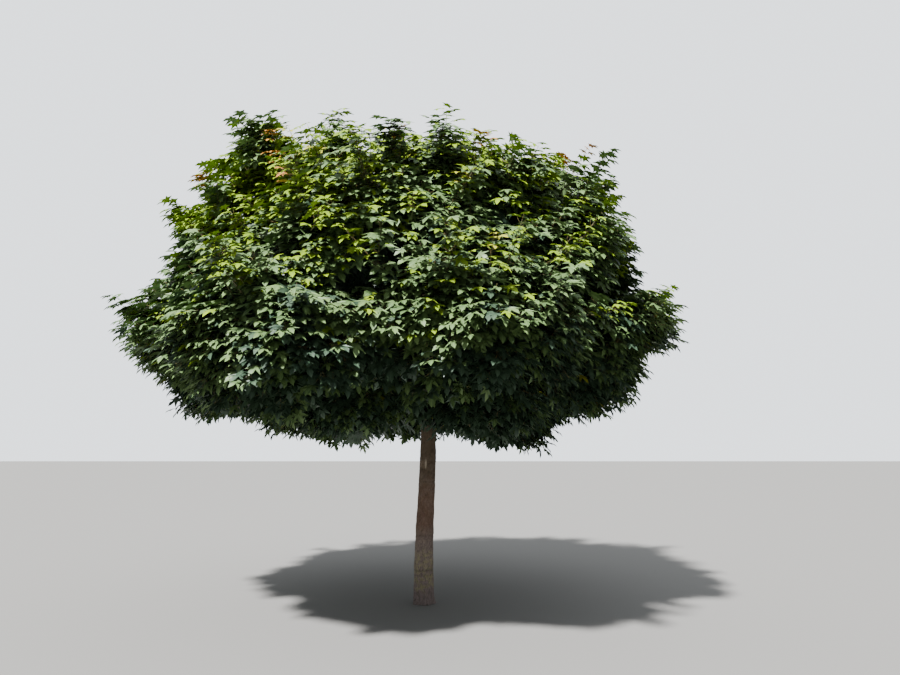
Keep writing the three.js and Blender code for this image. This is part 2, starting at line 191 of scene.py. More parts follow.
def makeLimbs(masses):
    limbs = []

    def foot(azimuth, ring):
        x = trunkCentre(trunk["height"]) + ring * math.cos(azimuth)
        return np.array([x, ring * math.sin(azimuth), bough["footHeight"]])

    def addLimb(mass, start, middle, radius):
        goal = mass["coreCentre"]
        limb = {"mass": mass, "start": start, "middle": middle, "goal": goal, "radius": radius}
        end = 1
        while np.linalg.norm(alongCurve(limb, end)[0] - goal) < crown["entry"]:
            end -= crown["entryStep"]
        limb["end"] = end
        limbs.append(limb)
        return limb

    def archTo(mass, start, radius):
        rise = tiers[mass["tier"]]["limb"][0]
        return addLimb(mass, start, (start + mass["coreCentre"]) / 2 + upward * rise, radius)

    def forkTo(mass, parent, place):
        _, fork, step = tiers[mass["tier"]]["limb"]
        share = fork + step * place
        radius = min(bough["sideRadius"], radiusOn(parent, share) * bough["forkShare"])
        return archTo(mass, alongCurve(parent, share)[0], radius)

    def ofTier(name):
        return [m for m in masses if m["tier"] == name]

    def fromKnuckle(mass, radius):
        return archTo(mass, foot(mass["azimuth"], bough["footRing"]), radius)

    mains = [fromKnuckle(mass, bough["stemRadius"]) for mass in ofTier("shoulder")]
    for mass in ofTier("hem"):
        fromKnuckle(mass, bough["sideRadius"])
    firstTop, *otherTops = ofTier("top")
    leaderFoot = foot(0, 0)
    leaderMiddle = leaderFoot + (firstTop["coreCentre"] - leaderFoot) * bough["leaderBend"]
    leaderMiddle[0] = leaderFoot[0] + bough["leaderBow"]
    leaderMiddle[1] = leaderFoot[1]
    leader = addLimb(firstTop, leaderFoot, leaderMiddle, bough["leaderRadius"])
    for i, mass in enumerate(otherTops):
        forkTo(mass, leader, i)
    for tierName in ("skirt", "flank"):
        taken = [0] * len(mains)
        for mass in ofTier(tierName):
            nearness = [math.cos(main["mass"]["azimuth"] - mass["azimuth"]) for main in mains]
            i = nearness.index(max(nearness))
            forkTo(mass, mains[i], taken[i])
            taken[i] += 1
    return limbs


# Camera, light and floor

camera = {
    "place": (0.262, -7.248, 1.55),
    "pitch": 98.7,  # degrees from straight down
    "lens": 28,
    "sensor": 36,
    "photoSize": (900, 675),  # pixels
}


def throughCamera():
    pitch = math.radians(camera["pitch"] - 90)
    forward = np.array([0, math.cos(pitch), math.sin(pitch)])
    return np.array([1.0, 0, 0]), np.array([0, -math.sin(pitch), math.cos(pitch)]), forward


# Where the photograph's frame has each point, in pixels, and how many metres a pixel takes up there
def seenAt(points):
    right, above, forward = throughCamera()
    away = points - np.array(camera["place"])
    depth = away @ forward
    width, height = camera["photoSize"]
    scale = camera["lens"] / camera["sensor"] * width / depth
    pixels = np.stack([width / 2 + away @ right * scale, height / 2 - away @ above * scale], axis=1)
    return pixels, camera["sensor"] / camera["lens"] / width * depth


light = {
    "sunTurn": (33, -20, 0),  # degrees: from the front, and from the left
    "sunStrength": 15.5,
    "sunAngle": 4,
    "skyColor": (0.9, 0.95, 1.0),
    "skyAbove": 1.8,  # a wide soft light overhead, which fades to the horizon
    "skyLow": 0.02,
    "skyFoot": 0.15,  # where it has faded out, as a share of the way up
    "backdrop": 2.2,  # its strength as the camera sees it
    "floorColor": (0.2, 0.195, 0.185),
    "floorSize": 60,
}


def makeStudio():
    camData = bpy.data.cameras.new("camera")
    camData.lens = camera["lens"]
    camData.sensor_width = camera["sensor"]
    camData.clip_end = 200
    cam = addObject("camera", camData)
    cam.location = camera["place"]
    cam.rotation_euler = (math.radians(camera["pitch"]), 0, 0)
    bpy.context.scene.camera = cam

    sunData = bpy.data.lights.new("sun", "SUN")
    sunData.energy = light["sunStrength"]
    sunData.angle = math.radians(light["sunAngle"])
    addObject("sun", sunData).rotation_euler = [math.radians(a) for a in light["sunTurn"]]
    makeSky()

    bm = bmesh.new()
    bmesh.ops.create_grid(bm, x_segments=1, y_segments=1, size=light["floorSize"])
    floor = pieceFromBmesh("floor", bm)
    material, tree, shader = newMaterial("floor", roughness=0.9, gloss=0.3)
    feed(tree, shader.inputs["Base Color"], light["floorColor"])
    floor.data.materials.append(material)


def makeSky():
    world = bpy.data.worlds.new("sky")
    world.use_nodes = True
    tree = world.node_tree
    ways = addNode(tree, "ShaderNodeTexCoord").outputs["Generated"]
    split = addNode(tree, "ShaderNodeSeparateXYZ", Vector=ways)
    fade = addNode(tree, "ShaderNodeMapRange", Value=split.outputs["Z"])
    fade.inputs["From Min"].default_value = light["skyFoot"]
    fade.inputs["To Min"].default_value = light["skyLow"]
    fade.inputs["To Max"].default_value = light["skyAbove"]
    overhead = tree.nodes["Background"]
    feed(tree, overhead.inputs["Color"], light["skyColor"])
    feed(tree, overhead.inputs["Strength"], fade.outputs["Result"])
    backdrop = addNode(tree, "ShaderNodeBackground", Color=light["skyColor"], Strength=light["backdrop"])
    rays = addNode(tree, "ShaderNodeLightPath")
    either = addNode(tree, "ShaderNodeMixShader", Fac=rays.outputs["Is Camera Ray"])
    for socket, source in zip(either.inputs[1:], (overhead, backdrop)):
        feed(tree, socket, source.outputs["Background"])
    feed(tree, tree.nodes["World Output"].inputs["Surface"], either.outputs["Shader"])
    bpy.context.scene.world = world


def addObject(name, data):
    added = bpy.data.objects.new(name, data)
    bpy.context.scene.collection.objects.link(added)
    return added


def pieceFromBmesh(name, bm):
    mesh = bpy.data.meshes.new(name)
    bm.to_mesh(mesh)
    bm.free()
    return addObject(name, mesh)


# Materials

def newMaterial(name, roughness, gloss):
    material = bpy.data.materials.new(name)
    material.use_nodes = True
    tree = material.node_tree
    shader = tree.nodes["Principled BSDF"]
    shader.inputs["Roughness"].default_value = roughness
    shader.inputs["Specular IOR Level"].default_value = gloss
    return material, tree, shader


def feed(tree, socket, value):
    if isinstance(value, bpy.types.NodeSocket):
        tree.links.new(value, socket)
    elif socket.type == "RGBA":
        socket.default_value = (*value, 1)
    else:
        socket.default_value = value


# A value goes into the input of its name, or else it is one of the node's own settings.
def addNode(tree, kind, **values):
    node = tree.nodes.new(kind)
    for key, value in values.items():
        if key in node.inputs:
            feed(tree, node.inputs[key], value)
        else:
            setattr(node, key, value)
    return node


def addRamp(tree, source, stops):
    ramp = addNode(tree, "ShaderNodeValToRGB", Fac=source)
    while len(ramp.color_ramp.elements) < len(stops):
        ramp.color_ramp.elements.new(0.5)
    for element, (position, color) in zip(ramp.color_ramp.elements, stops):
        element.position = position
        element.color = (*color, 1) if isinstance(color, tuple) else (color, color, color, 1)
    return ramp.outputs["Color"]


def mixColors(tree, amount, first, second, blend="MIX"):
    values = {"data_type": "RGBA", "blend_type": blend, "Factor": amount, "A": first, "B": second}
    return addNode(tree, "ShaderNodeMix", **values).outputs["Result"]


def calculate(tree, operation, *values, kind="ShaderNodeMath", result="Value"):
    node = addNode(tree, kind, operation=operation)
    for socket, value in zip(node.inputs, values):
        feed(tree, socket, value)
    return node.outputs[result]


def noiseAt(tree, place, **values):
    return addNode(tree, "ShaderNodeTexNoise", Vector=place, **values).outputs["Fac"]


# base colours of the darker and the lighter blotches on each tint of leaf; deep and fresh also serve as
# painted shade low in the crown and painted sunlight at its top
leafLook = {
    "deep": {"colors": ((0.022, 0.045, 0.026), (0.046, 0.083, 0.043)), "roughness": 0.46, "gloss": 0.5},
    "green": {"colors": ((0.066, 0.12, 0.04), (0.122, 0.19, 0.062)), "roughness": 0.48, "gloss": 0.4},
    "fresh": {"colors": ((0.122, 0.205, 0.008), (0.2, 0.288, 0.016)), "roughness": 0.55, "gloss": 0.14},
    "yellow": {"colors": ((0.24, 0.25, 0.015), (0.32, 0.31, 0.03)), "roughness": 0.5, "gloss": 0.25},
    "rust": {"colors": ((0.3, 0.12, 0.022), (0.42, 0.22, 0.038)), "roughness": 0.5, "gloss": 0.2},
}

tintNames = list(leafLook)
deep, green, fresh, yellow = range(4)  # their places in that list

leafSkin = {
    "blotchScale": 9.0,
    "blotchEdges": (0.35, 0.68),
    "fan": 8.0,  # veins in a full turn round the leaf's root
    "veinEdge": 0.955,  # the nearer to 1, the finer the veins are
    "veinStrength": 0.35,
    "veinLight": (1.8, 0.02),  # how much paler than the leaf: times, and plus
    "bump": {"Strength": 0.25, "Distance": 0.004},
}


def leafMaterial(name):
    look = leafLook[name]
    material, tree, shader = newMaterial("leaf_" + name, look["roughness"], look["gloss"])
    place = addNode(tree, "ShaderNodeTexCoord").outputs["Object"]
    cloud = noiseAt(tree, place, Scale=leafSkin["blotchScale"], Detail=3.0)
    blotch = addRamp(tree, cloud, list(zip(leafSkin["blotchEdges"], look["colors"])))
    # the veins spread like a fan from the leaf's root, on its own map
    uv = addNode(tree, "ShaderNodeUVMap", uv_map="leaf").outputs["UV"]
    split = addNode(tree, "ShaderNodeSeparateXYZ", Vector=uv)
    angle = calculate(tree, "ARCTAN2", split.outputs["Y"], split.outputs["X"])
    wave = calculate(tree, "COSINE", calculate(tree, "MULTIPLY", angle, leafSkin["fan"]))
    veins = addRamp(tree, wave, [(leafSkin["veinEdge"], 0), (1.0, 1)])
    amount = calculate(tree, "MULTIPLY", veins, leafSkin["veinStrength"])
    times, plus = leafSkin["veinLight"]
    veinColor = tuple(min(1, c * times + plus) for c in look["colors"][1])
    feed(tree, shader.inputs["Base Color"], mixColors(tree, amount, blotch, veinColor))
    bump = addNode(tree, "ShaderNodeBump", Height=wave, **leafSkin["bump"])
    feed(tree, shader.inputs["Normal"], bump.outputs["Normal"])
    return material


twigLook = {
    "branch_bark": ((0.06, 0.05, 0.036), (0.12, 0.1, 0.07)),
    "twig_bark": ((0.06, 0.055, 0.026), (0.11, 0.1, 0.045)),
    "leaf_stalk": ((0.2, 0.13, 0.05), (0.3, 0.24, 0.09)),
}


def twigMaterial(name):
    material, tree, shader = newMaterial(name, roughness=0.6, gloss=0.3)
    place = addNode(tree, "ShaderNodeTexCoord").outputs["Object"]
    cloud = noiseAt(tree, place, Scale=14.0, Detail=4.0)
    dark, pale = twigLook[name]
    feed(tree, shader.inputs["Base Color"], addRamp(tree, cloud, [(0.35, dark), (0.7, pale)]))
    return material


barkLook = {
    "crack": (0.04, 0.03, 0.024),
    "base": [(0.4, (0.1, 0.07, 0.048)), (0.62, (0.24, 0.19, 0.15))],
    "cracks": {"Scale": 85.0, "Detail": 7.0, "Roughness": 0.65, "Distortion": 1.1},
    "crackStretch": 0.33,  # the less, the longer the cracks are
    "crackEdges": [(0.34, 1), (0.56, 0)],
    "crackStrength": 0.6,
    "patches": {"Scale": 13.0, "Detail": 8.0, "Roughness": 0.68},
    "grain": {"Scale": 320.0, "Detail": 3.0},
    "grainLight": [(0.3, 0.72), (0.7, 1.2)],
    "grainStrength": 0.6,
    "coarse": {"Strength": 0.7, "Distance": 0.004},
    "fine": {"Strength": 0.35, "Distance": 0.0012},
}

trunkLook = {
    "span": 2.4,  # metres of stem that the ramps below cover
    "wander": 0.35,  # how far their edges wander up and down
    "bands": [  # colour, its share at each height, strength
        # painted shade: this band darkens the stem towards the top, where the crown's shadow falls
        ((0.058, 0.042, 0.022), [(1.0, 0), (1.3, 0.7), (1.6, 1), (2.2, 1)], 0.8),
        ((0.2, 0.115, 0.085), [(0.58, 0), (0.76, 0.85), (1.02, 0.7), (1.25, 0.1)], 0.85),
        ((0.34, 0.27, 0.255), [(0.0, 1), (0.3, 0.85), (0.6, 0.6), (0.76, 0)], 0.8),
    ],
    "lichen": (0.36, 0.33, 0.19),
    "crust": {"Scale": 24.0, "Detail": 9.0, "Roughness": 0.75},
    "crustEdges": [(0.45, 0), (0.55, 1)],
    "lichenReach": [(0.12, 0), (0.2, 0.9), (0.44, 0.8), (0.56, 0.08), (1.7, 0.05), (2.0, 0)],
    # painted shade in the rings' grooves, the darker the deeper the groove
    "ringShade": 150,  # against a ring's depth in metres
    "scar": (0.45, 0.38, 0.29),
    "scarPlace": (-0.02, -0.085, 1.36),  # on the side that the photograph shows
    "scarFlatness": (1, 1, 0.22),
    "scarEdges": [(0.008, 0.8), (0.014, 0)],
}


# Bark is read on a point attribute that runs round and along each limb, so its cracks follow the wood.
def barkMaterial(name, isTrunk):
    material, tree, shader = newMaterial(name, roughness=0.88, gloss=0.25)
    place = addNode(tree, "ShaderNodeAttribute", attribute_name="barkPlace").outputs["Vector"]
    stretch = addNode(tree, "ShaderNodeMapping", Vector=place, Scale=(1, 1, barkLook["crackStretch"]))
    cracks = noiseAt(tree, stretch.outputs["Vector"], **barkLook["cracks"])
    patches = noiseAt(tree, place, **barkLook["patches"])
    grain = noiseAt(tree, place, **barkLook["grain"])
    color = addRamp(tree, patches, barkLook["base"])
    if isTrunk:
        color = trunkColor(tree, place, patches, color)
    darkness = addRamp(tree, cracks, barkLook["crackEdges"])
    amount = calculate(tree, "MULTIPLY", darkness, barkLook["crackStrength"])
    color = mixColors(tree, amount, color, barkLook["crack"])
    speckle = addRamp(tree, grain, barkLook["grainLight"])
    color = mixColors(tree, barkLook["grainStrength"], color, speckle, "MULTIPLY")
    feed(tree, shader.inputs["Base Color"], color)
    coarse = addNode(tree, "ShaderNodeBump", Height=cracks, **barkLook["coarse"])
    fine = addNode(tree, "ShaderNodeBump", Height=grain, Normal=coarse.outputs["Normal"], **barkLook["fine"])
    feed(tree, shader.inputs["Normal"], fine.outputs["Normal"])
    return material


# Lichen above the foot, a reddish middle, and painted shade: the bark darkens towards the top, in the
# crown's shadow
def trunkColor(tree, place, patches, color):
    span = trunkLook["span"]
    lift = trunkLook["wander"] / 2

    def shareOf(height, stops, raised):
        return addRamp(tree, height, [((z + raised) / span, share) for z, share in stops])

    height = addNode(tree, "ShaderNodeSeparateXYZ", Vector=place).outputs["Z"]
    wandering = calculate(tree, "MULTIPLY_ADD", patches, trunkLook["wander"], height)
    wandering = calculate(tree, "DIVIDE", wandering, span)
    for bandColor, stops, strength in trunkLook["bands"]:
        amount = calculate(tree, "MULTIPLY", shareOf(wandering, stops, lift), strength)
        color = mixColors(tree, amount, color, bandColor)

    crust = noiseAt(tree, place, **trunkLook["crust"])
    spots = addRamp(tree, crust, trunkLook["crustEdges"])
    reach = shareOf(wandering, trunkLook["lichenReach"], lift)
    color = mixColors(tree, calculate(tree, "MULTIPLY", spots, reach), color, trunkLook["lichen"])

    # painted shade: each ring's groove is darkened by its depth
    ringShadeStops = []
    for middle, depth, halfWidth in trunkMarks:
        dark = trunkLook["ringShade"] * depth
        ringShadeStops += [(middle - 2 * halfWidth, 0), (middle, dark), (middle + 2 * halfWidth, 0)]
    ring = shareOf(calculate(tree, "DIVIDE", height, span), ringShadeStops, 0)
    color = mixColors(tree, calculate(tree, "MULTIPLY", ring, crust), color, barkLook["crack"])

    kind = "ShaderNodeVectorMath"
    away = calculate(tree, "SUBTRACT", place, trunkLook["scarPlace"], kind=kind, result="Vector")
    away = calculate(tree, "MULTIPLY", away, trunkLook["scarFlatness"], kind=kind, result="Vector")
    scar = addRamp(tree, calculate(tree, "LENGTH", away, kind=kind), trunkLook["scarEdges"])
    return mixColors(tree, scar, color, trunkLook["scar"])


# Wood

wood = {
    "trunkSides": 150,
    "trunkRows": 330,
    "ridgeDepth": 0.0016,
    "ridgeAround": 80,  # ridges to the metre round the stem
    "ridgeAlong": 22,
    "swellDepth": 0.005,
    "collar": 0.45,  # how much a bough widens where it leaves its parent
    "collarSpan": 0.09,
    "boughSides": 18,
    "boughStep": 0.012,
    "boughRidges": 0.45,  # how deep they are on a bough, against the trunk's
    "boughBuried": 0.02,  # how far a bough runs on into its mass
    "warpScale": 14,
    "warp": 0.02,  # how far the ridges swing up and down
    "crackSharpness": 4,
    "secondScale": 1.9,  # of finer cracks between the first ones
    "secondDepth": 0.6,
    "lumpScales": (7, 17),
    "tieWaver": 0.006,
}

trunkMarks = [  # height, depth, half-width: old rings where a tie has sat, and wrinkles
    (0.275, 0.003, 0.006),
    (0.32, 0.005, 0.006),
    (0.41, 0.002, 0.005),
    (0.62, 0.001, 0.006),
    (0.655, 0.0035, 0.007),
    (0.84, 0.002, 0.005),
    (1.18, 0.003, 0.006),
    (1.72, 0.003, 0.01),
]


def barkPlace(radius, turn, along):
    return Vector((radius * math.cos(turn), radius * math.sin(turn), along))


def barkRelief(p, along, depth):
    warp = noise.noise(p * wood["warpScale"]) * wood["warp"]
    q = Vector((p.x * wood["ridgeAround"], p.y * wood["ridgeAround"], (along + warp) * wood["ridgeAlong"]))
    crack = 1 - min(1, abs(noise.noise(q)) * wood["crackSharpness"])
    elsewhere = q * wood["secondScale"] + Vector((7, 3, 1))
    second = 1 - min(1, abs(noise.noise(elsewhere)) * wood["crackSharpness"])
    large, small = wood["lumpScales"]
    lump = noise.noise(p * large) + 0.5 * noise.noise(p * small)
    return wood["swellDepth"] * lump - depth * (crack**2 + wood["secondDepth"] * second**2)


# A grid is rolled into a tube: x of the grid goes round, and y goes along.
def rollTube(name, sides, rows, placeAt):
    bm = bmesh.new()
    bmesh.ops.create_grid(bm, x_segments=sides, y_segments=rows, size=0.5)
    layer = bm.verts.layers.float_vector.new("barkPlace")
    for v in bm.verts:
        turn = (v.co.x + 0.5) * 2 * math.pi
        v.co, v[layer] = placeAt(v.co.y + 0.5, turn)
    bmesh.ops.remove_doubles(bm, verts=bm.verts, dist=1e-6)
    rim = [e for e in bm.edges if e.is_boundary]
    bmesh.ops.holes_fill(bm, edges=rim, sides=0)
    bmesh.ops.recalc_face_normals(bm, faces=bm.faces)
    for face in bm.faces:
        face.smooth = len(face.verts) == 4
    return pieceFromBmesh(name, bm)


def makeTrunk(material):
    def placeAt(share, turn):
        z = trunk["height"] * share
        radius = trunkRadius(z, turn)
        place = barkPlace(radius, turn, z)
        relief = barkRelief(place, z, wood["ridgeDepth"])
        for height, depth, halfWidth in trunkMarks:
            waver = wood["tieWaver"] * math.sin(2 * turn + height * 9)
            relief -= depth * math.exp(-(((z - height - waver) / halfWidth) ** 2))
        if z > trunk["knuckleHeight"]:
            relief *= max(0, 1 - (z - trunk["knuckleHeight"]) / trunk["crownSpan"])
        off = radius + relief
        return Vector((trunkCentre(z) + off * math.cos(turn), off * math.sin(turn), z)), place

    piece = rollTube("trunk_bark", wood["trunkSides"], wood["trunkRows"], placeAt)
    piece.data.materials.append(material)
    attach(piece, "root")
    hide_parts("trunk")


def frameAlong(points):
    tangent = unit(np.gradient(points, axis=0))
    side = np.cross(upward, tangent[0])
    side = unit(side if np.linalg.norm(side) > 1e-3 else np.array([1.0, 0, 0]))
    sides = []
    for t in tangent:
        side = unit(side - t * np.dot(side, t))
        sides.append(side)
    sides = np.array(sides)
    return sides, np.cross(tangent, sides)


def makeBough(limb, material, index):
    length = lengths(np.diff(alongCurve(limb, np.linspace(0, 1, 40)), axis=0)).sum()
    last = limb["end"] + wood["boughBuried"] / length
    rows = max(6, round(length * last / wood["boughStep"]))
    shares = np.linspace(0, last, rows + 1)
    points = alongCurve(limb, shares)
    sides, fronts = frameAlong(points)

    def placeAt(share, turn):
        i = min(round(share * rows), rows)
        along = shares[i] * length
        radius = radiusOn(limb, shares[i])
        collar = 1 + wood["collar"] * math.exp(-along / wood["collarSpan"])
        place = barkPlace(radius, turn, along + index)
        relief = barkRelief(place, along + index, wood["ridgeDepth"] * wood["boughRidges"])
        off = (radius + relief) * collar
        point = points[i] + off * (math.cos(turn) * sides[i] + math.sin(turn) * fronts[i])
        return Vector(point), place

    name = "bough_" + limb["mass"]["name"]
    piece = rollTube(name + "_bark", wood["boughSides"], rows, placeAt)
    piece.data.materials.append(material)
    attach(piece, "root")
    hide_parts(name)


# Joined meshes from arrays, for the twigs, leaf stalks and leaves

def pieceFromArrays(name, vertices, triangles, uv, material):
    mesh = bpy.data.meshes.new(name)
    mesh.vertices.add(len(vertices))
    mesh.vertices.foreach_set("co", vertices.astype(np.float32).ravel())
    mesh.loops.add(len(triangles) * 3)
    mesh.loops.foreach_set("vertex_index", triangles.astype(np.int32).ravel())
    mesh.polygons.add(len(triangles))
    mesh.polygons.foreach_set("loop_start", np.arange(len(triangles), dtype=np.int32) * 3)
    if uv is not None:
        layer = mesh.uv_layers.new(name="leaf")
        layer.data.foreach_set("uv", uv[triangles.ravel()].astype(np.float32).ravel())
    mesh.update()
    mesh.validate()
    mesh.materials.append(material)
    piece = addObject(name, mesh)
    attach(piece, "root")
    return piece


# Each path is a row of points with a radius at each: a tube of a few sides round it, closed at both ends
def tubesRound(paths, radii, sides):
    count, steps, _ = paths.shape
    tangent = unit(np.gradient(paths, axis=1))
    helper = np.where(np.abs(tangent[:, :1, 2:3]) > 0.9, [[[1.0, 0, 0]]], [[[0, 0, 1.0]]])
    side = unit(np.cross(np.broadcast_to(helper, tangent.shape), tangent))
    front = np.cross(tangent, side)
    angle = np.arange(sides) * 2 * math.pi / sides
    ring = side[:, :, None] * np.cos(angle)[:, None] + front[:, :, None] * np.sin(angle)[:, None]
    vertices = paths[:, :, None] + ring * radii[:, :, None, None]
    one = []
    for s in range(steps - 1):
        for k in range(sides):
            a = s * sides + k
            b = s * sides + (k + 1) % sides
            one += [(a, b, b + sides), (a, b + sides, a + sides)]
    last = (steps - 1) * sides
    for k in range(1, sides - 1):
        one += [(0, k + 1, k), (last, last + k, last + k + 1)]
    triangles = np.array(one)[None] + (np.arange(count) * steps * sides)[:, None, None]
    return vertices.reshape(-1, 3), triangles.reshape(-1, 3)


# Half of a five-lobed leaf, from the stalk round to the tip, with the crest of the middle lobe
leafShape = {
    "outer": [
        (-0.04, 0.44, -0.08),
        (0.19, 0.22, 0.03),
        (0.6, 0.6, -0.09),
        (0.45, 0.14, 0.04),
        (0.73, 0.18, 0.0),
    ],
    "inner": [
        (-0.02, 0.45, -0.08),
        (0.19, 0.25, 0.03),
        (0.58, 0.58, -0.09),
    ],
    "tip": (1.0, 0.0, -0.14),
    "crest": (0.5, 0.0, -0.01),
}


# The outline is filled from the root, up to the notch before the middle lobe, and from the crest past it.
def leafTemplate(kind):
    half = leafShape[kind]
    notch = len(half) - (2 if kind == "outer" else 1)
    points = [(0, 0, 0), leafShape["crest"], leafShape["tip"]]
    points += half
    points += [(x, -y, z) for x, y, z in half]
    triangles = []
    for first, flip in ((3, False), (3 + len(half), True)):
        fan = [(0, first + k + 1, first + k) for k in range(notch)]
        fan.append((0, 1, first + notch))
        fan += [(1, first + k + 1, first + k) for k in range(notch, len(half) - 1)]
        fan.append((1, 2, first + len(half) - 1))
        triangles += [(a, c, b) if flip else (a, b, c) for a, b, c in fan]
    return np.array(points, float), np.array(triangles)


def leavesAt(kind, roots, axes, faces, sizes):
    template, one = leafTemplate(kind)
    axes = unit(axes)
    sides = unit(np.cross(faces, axes))
    faces = np.cross(axes, sides)
    basis = np.stack([axes, sides, faces], axis=1) * sizes[:, None, None]
    vertices = roots[:, None] + np.einsum("vk,nkj->nvj", template, basis)
    triangles = one[None] + (np.arange(len(roots)) * len(template))[:, None, None]
    uv = np.tile(template[:, :2], (len(roots), 1))
    return vertices.reshape(-1, 3), triangles.reshape(-1, 3), uv


# A stalk is a long thin wedge of three sides, from the twig to a point under the leaf's root.
def stalksAt(feet, roots, width):
    along = unit(roots - feet)
    side = unit(np.cross(along, upward + 0.1))
    front = np.cross(along, side)
    thirds = (0, 2.1, 4.2)  # of a turn, nearly
    corners = [feet + width * (side * math.cos(a) + front * math.sin(a)) for a in thirds]
    vertices = np.stack([*corners, roots], axis=1)
    one = np.array([(0, 2, 1), (0, 1, 3), (1, 2, 3), (2, 0, 3)])
    triangles = one[None] + (np.arange(len(roots)) * 4)[:, None, None]
    return vertices.reshape(-1, 3), triangles.reshape(-1, 3)


outside = {
    "merging": 13.5,  # the less, the softer two masses run together
    "lines": 26000,
    "lineFlatness": 0.75,
    "farthest": 3.4,
    "nearest": 0.5,
    "steps": 59,
    "slopeStep": 0.04,
}


# Keeps the points that are at least that far from all those kept before them.
def thinned(points, least):
    kept = np.empty_like(points)
    chosen = []
    for i, point in enumerate(points):
        known = kept[: len(chosen)]
        if not chosen or ((known - point) ** 2).sum(1).min() >= least * least:
            kept[len(chosen)] = point
            chosen.append(i)
    return np.array(chosen)


# How far out each point is in a mass: 1 on its outside
def shareOut(mass, points):
    return lengths((points - mass["centre"]) / mass["radii"])


# Under 0 within the masses, which run together softly where they meet
def crownField(masses, points):
    total = np.zeros(len(points))
    for mass in masses + [crown["middle"]]:
        total += np.exp(-outside["merging"] * (shareOut(mass, points) - 1))
    return -np.log(np.maximum(total, 1e-12)) / outside["merging"]


# The crown's outside, found along many lines from its heart: points, the ways they face, and their masses
def outsideOf(masses):
    directions = unit(spreadAll(outside["lines"]) * [1, 1, outside["lineFlatness"]])
    steps = np.linspace(outside["farthest"], outside["nearest"], outside["steps"])
    lowest = np.full(len(directions), np.inf)
    found = np.full(len(directions), steps[-1])
    done = np.zeros(len(directions), bool)
    for step in steps:
        value = crownField(masses, crown["heart"] + directions * step)
        better = ~done & (value < lowest)
        lowest[better] = value[better]
        found[better] = step
        done |= value < 0
    points = crown["heart"] + directions * found[:, None]
    slope = []
    for axis in np.eye(3) * outside["slopeStep"]:
        slope.append(crownField(masses, points + axis) - crownField(masses, points - axis))
    owners = np.argmin([shareOut(mass, points) for mass in masses], axis=0)
    return points, unit(np.stack(slope, axis=1)), owners


# Where the photograph's crown leaves the rule: a place in its frame and how far round it, in pixels, and the
# shift there, in pixels to the right and down and in metres to the front
bends = [
    ((305, 116), 32, (0, 30), 0),
    ((342, 116), 20, (0, -9), 0),
    ((424, 124), 26, (0, 14), 0),
    ((236, 132), 26, (2, -4), 0),
    ((182, 196), 30, (-5, -3), 0),
    ((153, 264), 32, (8, 0), 0),
    ((122, 322), 42, (-2, 9), 0),
    ((212, 412), 48, (-9, 12), 0),
    ((484, 118), 24, (0, 8), 0),
    ((544, 142), 38, (2, -7), 0),
    ((614, 176), 36, (8, 0), 0),
    ((657, 268), 32, (-12, 2), 0),
    ((668, 370), 48, (-16, -8), 0),
    ((604, 404), 42, (6, 8), 0),
    ((532, 436), 48, (-4, 12), 0),
    ((304, 358), 90, (0, 0), 0.27),
]

# where a shift begins and where it is whole: as a share of the reach, and of the way that the leaves face
bendFade = {"reach": (1, 0.2), "facing": (0.1, -0.3)}


def bent(points, normals):
    right, above, forward = throughCamera()
    pixels, perPixel = seenAt(points)
    inFront = smooth(*bendFade["facing"], normals[:, 1])[:, None]
    moved = points.copy()
    for place, reach, (across, down), nearer in bends:
        weight = smooth(*bendFade["reach"], lengths(pixels - place) / reach)[:, None]
        shift = perPixel[:, None] * (across * right - down * above)
        moved += weight * (shift - inFront * nearer * forward)
    return moved


# Where a tuft ends in the photograph's frame, how many shoots it has, their spread in metres, and the leaves
seenTufts = [
    ((190, 168), 2, 0.03, "rust"),
    ((201, 182), 4, 0.08, "green"),
    ((173, 213), 4, 0.08, "fresh"),
    ((236, 136), 5, 0.1, "green"),
    ((250, 114), 8, 0.13, "green"),
    ((266, 122), 1, 0.03, "rust"),
    ((272, 142), 2, 0.05, "rust"),
    ((276, 150), 4, 0.08, "fresh"),
    ((282, 160), 1, 0.03, "rust"),
    ((308, 134), 2, 0.05, "yellow"),
    ((335, 111), 7, 0.1, "green"),
    ((350, 126), 4, 0.08, "fresh"),
    ((388, 112), 8, 0.12, "green"),
    ((398, 114), 1, 0.02, "rust"),
    ((443, 110), 3, 0.05, "green"),
    ((489, 121), 4, 0.06, "fresh"),
    ((486, 126), 1, 0.02, "rust"),
    ((530, 141), 7, 0.13, "green"),
    ((556, 152), 5, 0.1, "fresh"),
    ((571, 146), 2, 0.04, "rust"),
    ((590, 162), 7, 0.11, "green"),
    ((597, 139), 1, 0.02, "rust"),
    ((610, 178), 7, 0.1, "green"),
    ((618, 147), 2, 0.03, "green"),
    ((632, 217), 4, 0.08, "green"),
    ((664, 291), 4, 0.08, "green"),
    ((685, 318), 4, 0.09, "green"),
    ((683, 290), 1, 0.02, "fresh"),
    ((114, 308), 4, 0.09, "green"),
    ((124, 338), 5, 0.12, "green"),
    ((500, 236), 1, 0.05, "yellow"),
    ((462, 162), 1, 0.05, "yellow"),
]

shoots = {
    "leafReach": 12,  # pixels that the leaves reach past the end of a shoot
    "root": 0.3,  # from the crown's outside in to where a shoot starts
    "sag": 0.04,
    "others": 110,  # tufts away from the outline that the photograph shows
    "sectors": 72,  # in which that outline is measured
    "edgeShare": 0.76,
    "facing": -0.1,  # the least that the leaves look up where a tuft grows
    "rise": (0.2, 1.2),
    "stand": (0.04, 0.2),  # how far those reach out of the leaves
    "headSpread": 0.06,
    "footSpread": 0.05,
    "otherTints": (0, 0.52, 0.42, 0.03, 0.03),
}


